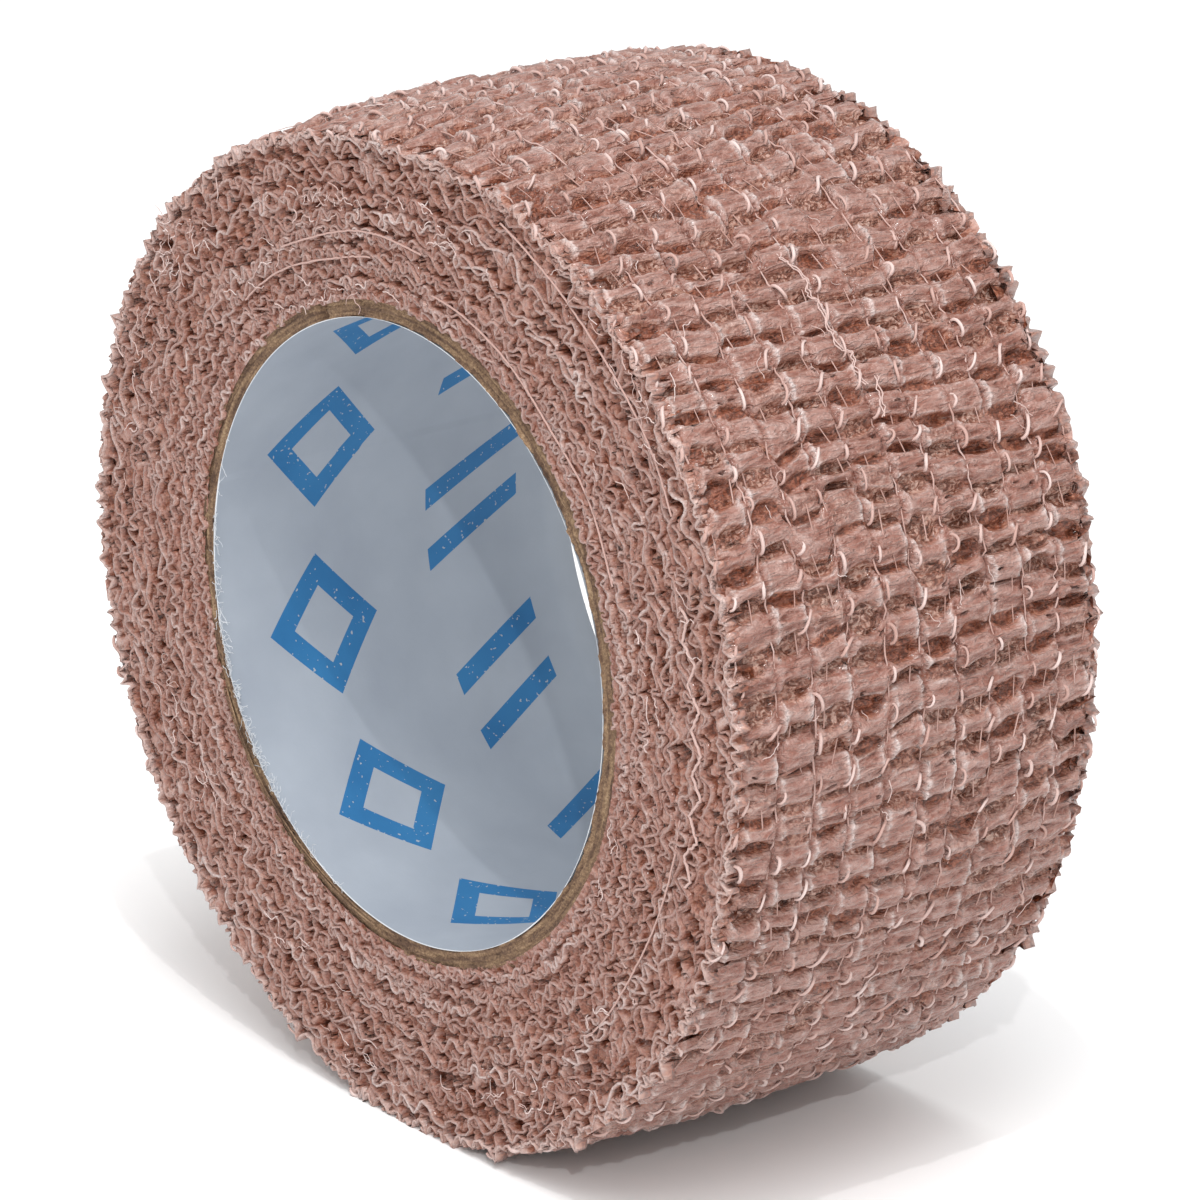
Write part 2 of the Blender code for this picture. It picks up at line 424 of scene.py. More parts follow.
    def along_threads(self, beside=0.0):
        """Angle, radius and y of the web on each thread, or that many mm beside it."""
        grids = self.surface(THREAD_LINES + beside, THREAD_SAMPLES)[:3]
        return [grid.reshape(RIBS, THREAD_SAMPLES, THREADS) for grid in grids]


def make_outer_turn(web, cloth, rng):
    """The outer web in bands, with small slits where it is torn, painted darkest as painted shade in
    them, and thin edges painted paler and warmer.
    """
    rows = (np.arange(THREADS - 1)[:, None] + WEB_ROWS).reshape(-1) * THREAD_SPACING - OUTER_THREAD
    rim = OUTER_THREAD + EDGE_TO_THREAD * np.array((0.0, 0.36, 0.7, 1.0))
    rows = np.concatenate([-rim[:0:-1], rows, rim])
    for band, part in enumerate(np.array_split(np.arange(len(rows) - 1), WEB_BANDS)):
        places = rows[part[0] : part[-1] + 2]
        angle, radius, y, tint, film, deep = web.surface(places, WEB_SAMPLES)
        count = SLITS // WEB_BANDS
        torn = rng.integers(len(angle), size=count), rng.integers(1, len(places) - 2, size=count)
        for step in (0, 1):
            slit = torn[0], torn[1] + step * rng.integers(0, 2, count)
            radius[slit] -= rng.uniform(0.15, 0.45, count)
            # Painted shade in the slit
            tint[slit] = 0
        thin = near_rim(y)
        deep = np.maximum(deep, 0.3 * thin)
        piece = grid_piece(
            f"outer_web_{band + 1}", rested(place(angle, radius, y)), cloth,
            tint=tint + 0.3 * thin, film=film, deep=deep,
        )
        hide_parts("bandage_roll")


def make_threads(web, thread, rng):
    """The lengthwise elastic threads, as thin taut runs that dip into the web."""
    angle, radius, y = web.along_threads()
    table = (RIBS, 1, THREADS)
    top = radius.max(axis=1, keepdims=True)
    lower = rng.uniform(0.05, 0.4, table)
    phase = (np.arange(THREAD_SAMPLES) / THREAD_SAMPLES)[None, :, None]
    lower = lower * (1 - phase) + np.roll(lower, -1, axis=0) * phase
    swing = rng.normal(0, 0.06, table) * np.sin(math.tau * phase)
    paths = rested(place(angle, np.maximum(top - lower, radius - 0.06), y + swing))
    paths = paths.reshape(RIBS * THREAD_SAMPLES, THREADS, 3).transpose(1, 0, 2)
    width = rng.uniform(0.04, 0.07, (THREADS, RIBS)).repeat(THREAD_SAMPLES, axis=1)
    tint = rng.uniform(0.2, 0.6, (THREADS, RIBS)).repeat(THREAD_SAMPLES, axis=1)
    piece = tubes_piece("elastic_threads", paths, width, thread, closed=True, tint=tint)


def make_hooks(web, thread, rng):
    """The pale hooks beside the threads, where they climb a rib and bend over it."""
    rib, line = np.nonzero(rng.random((RIBS, THREADS)) < HOOK_SHARE)
    each = (len(rib), 1)
    share = np.linspace(0, 1, 9)
    reach = rng.uniform(0.15, 0.3, each)
    beside = rng.choice((-1, 1), len(rib))
    sides = [web.along_threads(offset * COLLAR) for offset in (-1, 1)]
    tops = np.array([radius.max(axis=1) for _, radius, _ in sides])
    turns = np.array([angle[:, THREAD_SAMPLES // 2] for angle, _, _ in sides])
    chosen = (beside + 1) // 2, rib, line
    turn = turns[chosen][:, None] + (reach - 2 * reach * smooth(share)) * math.tau / RIBS
    comes_from = -beside[:, None] * rng.uniform(0.0, 0.5, each)
    bow = comes_from * (1 - share) ** 3 + rng.normal(0, 0.1, each) * np.sin(math.pi * share)
    bow = bow + rng.normal(0.18, 0.14, each) * (1 - 2 * share)
    across = (THREAD_LINES[line] + beside * COLLAR)[:, None] + bow
    across = np.clip(across, -HALF_WIDTH, HALF_WIDTH)
    arc = np.sin(math.pi * np.clip(share * 1.04, 0, 1)) ** 0.6
    radius = tops[chosen][:, None] - HOOK_ROOT + (HOOK_ROOT + rng.uniform(0.0, 0.05, each)) * arc
    width = rng.uniform(0.08, 0.13, each) * (0.75 + 0.25 * arc)
    # Paler at the top of the arc and darker at the roots, partly latex and partly painted shade
    tint = rng.uniform(0.25, 0.95, each) * (0.5 + 0.5 * arc)
    piece = tubes_piece("thread_hooks", rested(place(turn, radius, across)), width, thread, tint=tint)


def make_threads_beneath(web, thread, rng):
    """Threads of the turn beneath, where a hollow bares them."""
    rib, cell = np.nonzero(rng.random((RIBS, THREADS - 1)) < 0.5)
    each = (len(rib), 1)
    spot = -OUTER_THREAD + THREAD_SPACING * (cell + rng.uniform(0.2, 0.8, len(rib)))
    hollow = rib + FIRST_HOLLOW + web.shift[rib, cell + 1]
    sway = np.sin(WANDER_WAVES * hollow / RIBS * math.tau + 1.7 * spot / HALF_WIDTH)
    reach = 0.34
    run = np.linspace(-reach, reach, 5)
    around = (hollow + WANDER * sway)[:, None] + run
    angle = around * math.tau / RIBS
    across = spot[:, None] + rng.normal(0, 0.12, each) * run / reach
    radius = rib_top_radius(angle, across / HALF_WIDTH) - rng.uniform(0.12, 0.4, each)
    width = rng.uniform(0.03, 0.05, each)
    # Darker than the outer threads, partly latex and partly painted shade under the outer turn
    tint = rng.uniform(0.1, 0.4, each)
    paths = rested(place(angle, radius, across))
    piece = tubes_piece("threads_beneath", paths, width, thread, tint=tint)


# ---- The turns' edges on both faces ----


def turn_share(turn):
    """How far out a turn lies, from 0 at the tube to 1 under the rim; outer turns are thicker."""
    return turn * (1 + TURN_GROWTH * turn) / (TURNS * (1 + TURN_GROWTH * TURNS))


def turn_at(share):
    """The turn that lies a share of the way out."""
    whole = share * TURNS * (1 + TURN_GROWTH * TURNS)
    return (np.sqrt(1 + 4 * TURN_GROWTH * whole) - 1) / (2 * TURN_GROWTH)


def cloth_start(angle):
    """Radius of the innermost cloth, which laps over the tube's end by more on one side."""
    return TUBE_RADIUS + CLOTH_START - CLOTH_LEAN * np.cos(angle - math.radians(LEAN_TOWARDS))


def crinkled_turns(side, ply, samples, rng):
    """Path of one ply's edge as it winds outward: angles, radii, edge heights and tints."""
    core = TUBE_RADIUS + CLOTH_START
    waves = []
    turn = ply / PLIES
    while turn < TURNS:
        radius = core + turn_share(turn) * WOUND_DEPTH
        spacing = WOUND_DEPTH * (1 + 2 * TURN_GROWTH * turn) / (TURNS * (1 + TURN_GROWTH * TURNS)) / PLIES
        length = (CRINKLE_NEAR_TUBE + CRINKLE_PER_TURN * turn) * rng.uniform(0.55, 1.5)
        tall = min(spacing * rng.uniform(0.5, 1.6), 1.1)
        step = length / (math.tau * radius)
        waves.append((turn, step, tall, spacing))
        turn += step
    start, step, tall, spacing = (column[:, None] for column in np.array(waves).T)
    count = len(start)
    phase = (np.arange(samples) / samples)[None, :]
    hump = 0.5 * np.sin(math.pi * phase) ** 2 + 0.5 * (1 - np.abs(2 * phase - 1))
    crest = hump ** rng.uniform(0.6, 1.5, (count, 1))
    square = np.clip(rng.normal(0.07, 0.05, (count, 1)), -0.05, 0.15)
    along = phase + square * np.sin(2 * math.tau * phase) + rng.normal(0, 0.22, (count, 1)) * hump
    turns = start + step * along
    level = rng.normal(0, 0.35, (count + 1, 1))
    ripple = spacing * (level[:-1] * (1 - phase) + level[1:] * phase)
    ripple = ripple + 0.7 * spacing * lattice_noise(turns / TURNS, 0.5, 300, 1, rng)
    angle = turns * math.tau * side
    core = cloth_start(angle)
    room = rib_top_radius(angle, -side) - UNDER_RIM - core
    radius = core + room * turn_share(turns) + ripple + tall * (crest - 0.5)
    radius = np.clip(radius, core - 0.1, core + room + 0.25)
    drift = lattice_noise(turns / TURNS, 0.5, 90, 1, rng)
    jag = rng.normal(-0.06, 0.07, (count + 1, 1))
    edge = 0.1 * drift + jag[:-1] * (1 - phase) + jag[1:] * phase
    white = np.clip(lattice_noise(turns / TURNS, 0.5, 150, 1, rng), 0, 1)
    # Edges that stand further out are painted paler, a painted highlight; the pale patches are the
    # fibres' own colour
    tint = np.clip(0.56 + 0.34 * white + rng.uniform(-0.12, 0.12, (count, 1)) + 0.4 * edge, 0, 1)
    return [grid.reshape(-1) for grid in (angle, radius, edge, tint)]


def ply_strip(angle, radius, edge, side):
    """Points of a strip of cloth that stands on its edge in a face of the roll."""
    path = np.stack([radius * np.cos(angle), radius * np.sin(angle)], axis=-1)
    run = np.gradient(path, axis=0)
    run /= np.linalg.norm(run, axis=-1, keepdims=True) + 1e-9
    across = np.stack([-run[:, 1], run[:, 0]], axis=-1) * PLY_THICKNESS / 2
    low = np.full(edge.shape, HALF_WIDTH - PLY_DEPTH)
    high = HALF_WIDTH + np.minimum(edge, 0.3)
    columns = []
    for offset, y in ((-1, low), (-1, high), (1, high), (1, low)):
        flat = path + across * offset
        columns.append(np.stack([flat[:, 0], -side * y, AXIS_Z + flat[:, 1]], axis=-1))
    return rested(np.stack(columns, axis=1))


def make_face(web, side, name, samples, columns, cloth, rng):
    """One face: the crinkled edges of its plies, samples points a crinkle, the outer turn's
    rim, and the foam of crinkles that closes them beneath, columns points round."""
    depths = np.array((1.0, 0.0, 0.0, 1.0))
    for ply in range(PLIES):
        angle, radius, edge, tint = crinkled_turns(side, ply, samples, rng)
        # Painted shade: each ply's walls darken downwards through the tint and deep marks
        piece = grid_piece(
            f"{name}_ply_{ply + 1}", ply_strip(angle, radius, edge, side), cloth,
            closed=False, tint=tint[:, None] - 0.5 * depths, deep=depths, waxy=0.4,
        )
    rim = web.surface([-side * HALF_WIDTH], WEB_SAMPLES)[:2]
    angle, radius = (np.append(grid[:, 0], grid[0, 0]) for grid in rim)
    edge = 0.06 * lattice_noise(angle / math.tau, 0.5, 2 * RIBS, 1, rng)
    # Painted shade: the rim's walls darken downwards through the deep mark
    piece = grid_piece(
        f"{name}_rim", ply_strip(angle, radius - PLY_THICKNESS / 2, edge, side), cloth,
        closed=False, tint=0.85, deep=0.15 + 0.8 * depths, waxy=0.6,
    )

    angle = (np.arange(columns) * math.tau / columns)[:, None]
    around = angle / math.tau
    share = np.linspace(0, 1, columns // COLUMNS_PER_RING)
    outer = rib_top_radius(angle, -side) - 0.12
    start = cloth_start(angle)
    radius = start + (outer - start) * share
    warp, sway = (lattice_noise(around, share, 2 * FOAM_CELLS, 24, rng) for _ in range(2))
    turn = turn_at(share) + side * around + 0.4 * sway / FOAM_ROWS
    wall, lot = foam(angle + 0.4 * warp / FOAM_CELLS, turn, 5.3)
    hollow = smooth(np.clip((wall - 0.05 - 0.02 * share) / 0.18, 0, 1))
    hole = np.clip(1.8 * lot - 0.25, 0.25, 1) * (0.5 + 0.7 * share) * np.clip(share * 12, 0.1, 1)
    low = lattice_noise(around, share, 46, 6, rng)
    lip = np.clip((share - 0.9) / 0.08, 0, 1)
    depth = (0.14 - 0.03 * share + 0.08 * low) * (1 - 0.7 * lip) + 1.25 * hollow * hole
    points = rested(place(angle, radius, -side * (HALF_WIDTH - depth)))
    white = np.clip(lattice_noise(around, share, 60, 9, rng), 0, 1)
    # Painted shade: the foam's hollows are painted darker through the tint and deep marks
    piece = grid_piece(
        f"{name}_crinkles", points, cloth,
        tint=np.clip(0.5 + 0.3 * white + 0.2 * lip - 0.6 * hollow, 0, 1),
        deep=np.clip(0.1 + 1.8 * hollow * hole, 0, 1), waxy=0.5,
    )


# ---- Loose fibres ----


def fibre_paths(angle, radius, y, heading, length, curl, rng, on_face, steps=12):
    """Curly paths that start at each place and wander over the surface they lie on."""
    count = len(angle)
    bend = np.cumsum(rng.normal(0, curl, (count, steps)), axis=1)
    swing = rng.uniform(0.1, 0.8, (count, 1)) * np.sin(
        np.linspace(0, 1, steps) * rng.uniform(3, 9, (count, 1)) + rng.uniform(0, 6, (count, 1))
    )
    course = heading[:, None] + bend + swing
    stride = (length / steps)[:, None]
    along = np.cumsum(stride * np.cos(course), axis=1)
    side = np.cumsum(stride * np.sin(course), axis=1)
    lift = 0.02 + 0.06 * np.abs(np.cumsum(rng.normal(0, 0.35, (count, steps)), axis=1))
    turned = angle[:, None] + along / radius[:, None]
    if on_face:
        return place(turned, radius[:, None] + side, y[:, None] + np.sign(y[:, None]) * lift)
    return place(turned, radius[:, None] + lift, y[:, None] + side)


def fibres_piece(name, paths, thick, pale, thread, rng):
    """Tapered fibres along paths; thick and pale are each a range to draw from."""
    count, steps = paths.shape[:2]
    width = np.linspace(1, 0.6, steps) * rng.uniform(*thick, (count, 1))
    piece = tubes_piece(name, rested(paths), width, thread, tint=rng.uniform(*pale, (count, 1)))


def make_fibres(thread, rng):
    """Pale fibres that have come loose, on both faces and on the outer turn."""
    for name, side, count in (("front_fibres", 1, 230), ("back_fibres", -1, 120)):
        tuft = rng.integers(0, FIBRE_TUFTS, count)
        angle = rng.uniform(0, math.tau, FIBRE_TUFTS)[tuft] + rng.normal(0, 0.09, count)
        outer = rib_top_radius(angle, -side) - UNDER_RIM
        inner = TUBE_RADIUS + CLOTH_START
        share = rng.uniform(0.05, 0.95, FIBRE_TUFTS)[tuft] + rng.normal(0, 0.06, count)
        radius = inner + (outer - inner) * np.clip(share, 0.02, 0.98)
        heading = rng.choice((0, math.pi), count) + rng.normal(0, 0.45, count)
        length = rng.uniform(0.4, 1.8, count)
        y = np.full(count, -side * (HALF_WIDTH + 0.02))
        paths = fibre_paths(angle, radius, y, heading, length, 0.25, rng, True)
        fibres_piece(name, paths, (0.022, 0.05), (0.5, 1.0), thread, rng)
    count = 120
    angle = rng.uniform(0, math.tau, count)
    y = rng.uniform(-HALF_WIDTH + 1, HALF_WIDTH - 1, count)
    radius = rib_top_radius(angle, y / HALF_WIDTH) - 0.1
    heading = rng.choice((0, math.pi), count) + rng.normal(0, 0.6, count)
    paths = fibre_paths(angle, radius, y, heading, rng.uniform(0.5, 2.0, count), 0.4, rng, False)
    fibres_piece("outer_fibres", paths, (0.02, 0.04), (0.4, 1.0), thread, rng)


def stray_thread(name, path, thick, thread, tint):
    """One thread that has come loose, along a path of points in mm."""
    piece = tubes_piece(name, rested(path[None]), thick, thread, sides=6, tint=tint)


def make_strays(thread, rng):
    """The single threads and strands that catch the eye, on the outer turn and the front."""
    for name, knots in (("crimped_thread", CRIMPED_THREAD), ("crimped_loop", CRIMPED_LOOP)):
        turns, across = np.array(knots).T
        steps = 7 * (len(knots) - 1)
        share = np.linspace(0, len(knots) - 1, steps)
        angle = np.radians(np.interp(share, range(len(knots)), turns))
        y = np.interp(share, range(len(knots)), across)
        for strand, apart in enumerate((-0.07, 0.07)):
            crimp = apart + 0.07 * np.sin(share * math.tau * 1.3 + strand) + rng.normal(0, 0.035, steps)
            radius = rib_top_radius(angle, y / HALF_WIDTH) + 0.08 + rng.normal(0, 0.03, steps)
            stray_thread(f"{name}_{strand + 1}", place(angle, radius, y + crimp), 0.04, thread, 0.6)

    first, last, middle = PALE_ZIGZAG
    angle = np.radians(np.linspace(first, last, 110))
    wave = 2 / math.pi * np.arcsin(np.sin(math.tau * angle * middle / ZIGZAG_PITCH))
    radius = middle + 0.4 * wave + rng.normal(0, 0.04, len(angle))
    stray_thread("pale_zigzag", place(angle, radius, -HALF_WIDTH + 0.02), 0.08, thread, 0.5)

    for index, (first, last, middle) in enumerate(TAUT_STRANDS):
        angle = np.radians(np.linspace(first, last, 60))
        swing = 0.12 * np.sin(angle * 11 + index) + rng.normal(0, 0.012, len(angle))
        y = -HALF_WIDTH - 0.01 - 0.05 * np.sin(angle * 17)
        stray_thread(f"taut_strand_{index + 1}", place(angle, middle + swing, y), 0.055, thread, 0.35)


def make_torn_core(board, paper, rng):
    """Plies split from the tube's front end, and fuzz where the blade tore the lining."""
    turns, reach = np.array(SPLIT_PLY).T
    angle = np.radians(np.linspace(turns[0], turns[-1], 80))
    for index, apart in enumerate((0.0, 0.16)):
        radius = np.interp(np.degrees(angle), turns, reach) + apart + rng.normal(0, 0.015, len(angle))
        y = -HALF_TUBE - 0.12 - 0.08 * np.sin(angle * 7 + index)
        piece = tubes_piece(f"split_ply_{index + 1}", place(angle, radius, y)[None], 0.06, board)
    count = 240
    angle = np.radians(rng.normal(210, 20, count))
    radius = np.full(count, LINER_RADIUS + 0.05)
    heading = rng.normal(-math.pi / 2, 0.7, count)
    y = np.full(count, -HALF_TUBE - 0.03)
    paths = fibre_paths(angle, radius, y, heading, rng.uniform(0.3, 1.2, count), 0.35, rng, True, 8)
    width = rng.uniform(0.011, 0.02, (count, 1))
    piece = tubes_piece("torn_lining_fuzz", paths, width, paper, mark="cut")


def make_flap(cloth):
    """A flap of cloth that stands up at the back rim."""
    turn, across = LOOSE_FLAP
    up = np.linspace(0, 1, 7)[:, None]
    wide = np.linspace(-1, 1, 5)[None, :]
    angle = np.radians(turn + 0.9 * up**2 + 0.25 * wide**2)
    radius = rib_top_radius(np.radians(turn), across / HALF_WIDTH) - 0.3 + 1.7 * up
    y = across - 0.5 * up + 0.33 * wide * np.sin(math.pi * (0.12 + 0.8 * up))
    piece = grid_piece("loose_flap", place(angle, radius, y), cloth, closed=False, tint=0.75, deep=0.1)


# ---- Core ----


def make_core(board, paper, rng):
    """The kraft tube's rough cut ends and wall, and the printed paper lining."""
    steps, rings = 540, 9
    turn = np.arange(steps) * math.tau / steps
    lined = LINER_RADIUS + PAPER_EDGE
    for name, side in (("board_front_end", 1), ("board_back_end", -1)):
        out = np.linspace(0, 1, rings)
        ragged = lattice_noise(turn / math.tau, 0, 120, 1, rng)
        ragged = ragged + 0.5 * lattice_noise(turn / math.tau, 0, 400, 1, rng)
        outer = (TUBE_RADIUS - 0.05 + 0.09 * ragged)[:, None]
        reach = lined + (outer - lined) * out
        ply_step = 0.09 * np.sin(out * 19 + 2 * ragged[:, None])
        y = HALF_TUBE - 0.03 + ply_step + rng.normal(0, 0.03, (steps, rings)) - 0.25 * (out > 0.99)
        y = y - 0.5 * np.exp(-(((np.degrees(turn) - NOTCH) / 1.2) ** 2))[:, None]
        points = place(turn[:, None], reach, -side * y)
        inward = place(turn[:, None], outer, -side * (HALF_TUBE - END_WALL))
        piece = grid_piece(name, np.concatenate([points, inward], axis=1), board)
        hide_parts("core_tube")
    columns = 14
    rows = np.linspace(-HALF_TUBE - 0.03, HALF_TUBE + 0.03, columns)
    rows[1] = rows[0] + 0.04
    past_seam = ((turn - math.radians(LINER_SEAM)) % math.tau) / math.tau
    lap = 0.07 * np.exp(-past_seam * 14)
    around, across = np.meshgrid(turn / math.tau, rows / HALF_TUBE / 2 + 0.5, indexing="ij")
    inner = LINER_RADIUS - lap[:, None] + 0.03 * lattice_noise(around, across, 22, 3, rng)
    front, back = (place(turn[:, None], lined, end) for end in (rows[:1], rows[-1:]))
    points = np.concatenate([front, place(turn[:, None], inner, rows), back], axis=1)
    cut = np.zeros(columns + 2)
    cut[:2] = 1
    piece = grid_piece("printed_lining", points, paper, cut=cut)
    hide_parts("core_liner")


# ---- Materials ----


def linear(hex_code):
    """An sRGB hex colour as linear red, green, blue and alpha."""
    values = [int(hex_code[i : i + 2], 16) / 255 for i in (1, 3, 5)]
    return [v / 12.92 if v <= 0.04045 else ((v + 0.055) / 1.055) ** 2.4 for v in values] + [1.0]


def add_node(tree, kind, inputs=None, **settings):
    """Adds a node; an input is given a value, or an output to link from. A node given as an
    input stands for its first output."""
    node = tree.nodes.new("ShaderNode" + kind)
    for name, value in settings.items():
        setattr(node, name, value)
    for socket, value in (inputs or {}).items():
        if isinstance(value, bpy.types.Node):
            value = value.outputs[0]
        if isinstance(value, bpy.types.NodeSocket):
            tree.links.new(value, node.inputs[socket])
        else:
            node.inputs[socket].default_value = value
    return node


def new_material(name):
    """A material, functions that add a node to it and link two sockets, and its shader."""
    material = bpy.data.materials.new(name)
    material.use_nodes = True
    tree = material.node_tree
    return material, partial(add_node, tree), tree.links.new, tree.nodes["Principled BSDF"]


def set_ramp(node, stops):
    """Gives a colour ramp its stops, each a place and an sRGB hex colour."""
    elements = node.color_ramp.elements
    while len(elements) < len(stops):
        elements.new(0.5)
    for element, (spot, colour) in zip(elements, stops):
        element.position = spot
        element.color = linear(colour)
    return node.outputs["Color"]


# Each pattern's scale is how many of its features there are to a metre, so 2 / MM is one each
# half millimetre


def latex_web(name, stops, roughness):
    """Nonwoven polyester web soaked in tan latex: crumpled and fibrous with a soft waxy gloss,
    and sharper small glints where the latex has set as bare film."""
    material, add, link, shader = new_material(name)
    spot = add("TexCoord").outputs["Object"]
    tint, film, deep, waxy = (
        add("Attribute", attribute_name=mark).outputs["Fac"]
        for mark in ("tint", "film", "deep", "waxy")
    )
    # Wrinkles and fibres run along the ribs, so the patterns are drawn out along Y
    drawn = add("VectorMath", {0: spot, 1: (1, 0.3, 1)}, operation="MULTIPLY")
    # Blotches about 2 mm wide where the latex lies thicker
    blotch = add("TexNoise", {"Vector": spot, "Scale": 0.5 / MM, "Detail": 3.0})
    # Sharp creases about 0.4 mm apart across the ribs, with smaller ones on them
    crease = add(
        "TexNoise",
        {
            "Vector": drawn, "Scale": 2.6 / MM, "Detail": 2.0, "Roughness": 0.5,
            "Offset": 0.9, "Gain": 1.2, "Distortion": 1.0,
        },
        noise_type="RIDGED_MULTIFRACTAL", normalize=False,
    )
    crease = add("MapRange", {"Value": crease, "From Min": 0.2, "From Max": 1.7})
    # Film crumples into folds about 0.5 mm apart, painted as bright and dark bands: painted highlights
    # and painted shade with no relief of their own
    fold = add("TexNoise", {"Vector": spot, "Scale": 1.9 / MM, "Detail": 1.5, "Distortion": 1.8})
    painted_fold_colour = set_ramp(
        add("ValToRGB", {"Fac": fold}),
        ((0.38, "#553124"), (0.5, "#8f6251"), (0.62, "#c9aa9d")),
    )
    # Painted shade: the colour of the deep parts darkens the deeper they lie
    darker = add("Math", {0: deep, 1: -0.28, 2: fold}, operation="MULTIPLY_ADD")
    painted_depth_colour = set_ramp(
        add("ValToRGB", {"Fac": darker}),
        ((0.2, "#562a17"), (0.34, "#8a4a31"), (0.54, "#b1785e")),
    )
    # Film puckers into facets about 0.3 mm wide
    pucker = add("TexVoronoi", {"Vector": spot, "Scale": 3.4 / MM}, feature="DISTANCE_TO_EDGE")
    pucker = add("Math", {0: pucker, 1: 0.9, 2: film}, operation="MULTIPLY")
    # Single fibres are 0.02 mm thick, drawn 0.05 mm thick so that they show: thin lines
    # where a smooth noise crosses its middle value
    lines = []
    for scale, shift in ((1.0 / MM, 0.0), (1.6 / MM, 0.05)):
        moved = add("VectorMath", {0: drawn, 1: (shift, shift, shift)}, operation="ADD")
        field = add("TexNoise", {"Vector": moved, "Scale": scale, "Detail": 1.0, "Distortion": 1.5})
        away = add("Math", {0: field, 1: 0.5}, operation="SUBTRACT")
        away = add("Math", {0: away}, operation="ABSOLUTE")
        line = {"Value": away, "From Max": 0.035, "To Min": 1.0, "To Max": 0.0}
        lines.append(add("MapRange", line))
    fibres = add("Math", {0: lines[0], 1: lines[1]}, operation="MAXIMUM")

    # Tan latex; the tint mark brings in painted highlights and painted shade, and the creases are painted
    # paler along their ridges as painted highlights
    level = add("Math", {0: blotch, 1: 0.3, 2: tint}, operation="MULTIPLY_ADD")
    level = add("Math", {0: crease, 1: 0.34, 2: level}, operation="MULTIPLY_ADD")
    level = add("Math", {0: level, 1: 0.31}, operation="SUBTRACT")
    colour = set_ramp(add("ValToRGB", {"Fac": level}), stops)
    depth = add("Math", {0: deep, 1: 0.6}, operation="POWER")
    for share, weight, hue in (
        (fibres, 0.16, linear("#e0c4b9")),  # fibres that the latex hasn't soaked
        # painted shade that deepens into hollows and down walls, warmed as a painted glow of light
        # through thin latex
        (depth, 0.82, painted_depth_colour),  # thin latex that light comes through
        # the film's colour carries painted highlights and painted shade on its folds
        (film, 0.85, painted_fold_colour),  # bare glossy film between fibres
    ):
        part = add("Math", {0: share, 1: weight}, operation="MULTIPLY")
        mix = add("Mix", {"Factor": part, 6: colour, 7: hue}, data_type="RGBA")
        colour = mix.outputs[2]
    link(colour, shader.inputs["Base Color"])

    # Relief of creases, fibres and puckers, which a waxy piece shows less of
    relief = add("Math", {0: fibres, 1: 0.1, 2: crease}, operation="MULTIPLY_ADD")
    relief = add("Math", {0: relief, 1: pucker}, operation="ADD")
    coarse = add("Math", {0: 1.0, 1: waxy}, operation="SUBTRACT")
    relief = add("Math", {0: relief, 1: coarse}, operation="MULTIPLY")
    bump = add("Bump", {"Height": relief, "Strength": 1.0, "Distance": 0.13 * MM})
    link(bump.outputs["Normal"], shader.inputs["Normal"])
    gloss = add("Math", {0: film, 1: -0.14, 2: roughness}, operation="MULTIPLY_ADD")
    link(gloss.outputs[0], shader.inputs["Roughness"])
    shader.inputs["IOR"].default_value = 1.42
    shader.inputs["Coat Weight"].default_value = 0.3
    shader.inputs["Coat Roughness"].default_value = 0.11
    return material


def covered_thread():
    """Elastic core wrapped in white yarn: pale and soft, darker and tanner where it lies low, partly from
    latex and partly as painted shade.
    """
    material, add, link, shader = new_material("covered_elastic_thread")
    spot = add("TexCoord").outputs["Object"]
    tint = add("Attribute", attribute_name="tint").outputs["Fac"]
    # The wrapping yarn's lay is about 0.05 mm, drawn at about 0.1 mm
    yarn = add("TexNoise", {"Vector": spot, "Scale": 9 / MM, "Detail": 2.0})
    level = add("Math", {0: yarn, 1: 0.3, 2: tint}, operation="MULTIPLY_ADD")
    level = add("Math", {0: level, 1: 0.15}, operation="SUBTRACT")
    ramp = add("ValToRGB", {"Fac": level})
    stops = ((0.0, "#a1786c"), (0.35, "#b9958b"), (0.7, "#cbb0a9"), (1.0, "#dac7c2"))
    link(set_ramp(ramp, stops), shader.inputs["Base Color"])
    bump = add("Bump", {"Height": yarn, "Strength": 0.5, "Distance": 0.04 * MM})
    link(bump.outputs["Normal"], shader.inputs["Normal"])
    shader.inputs["Roughness"].default_value = 0.55
    shader.inputs["IOR"].default_value = 1.5
    shader.inputs["Sheen Weight"].default_value = 0.2
    return material


def core_places(add):
    """Outputs of a place on the core: itself, its X, Y and Z, its height over the tube's axis,
    and its angle round it."""
    spot = add("TexCoord").outputs["Object"]
    parts = add("SeparateXYZ", {"Vector": spot}).outputs
    height = add("Math", {0: parts["Z"], 1: AXIS_Z * MM}, operation="SUBTRACT")
    angle = add("Math", {0: height, 1: parts["X"]}, operation="ARCTAN2")
    return spot, parts, height, angle


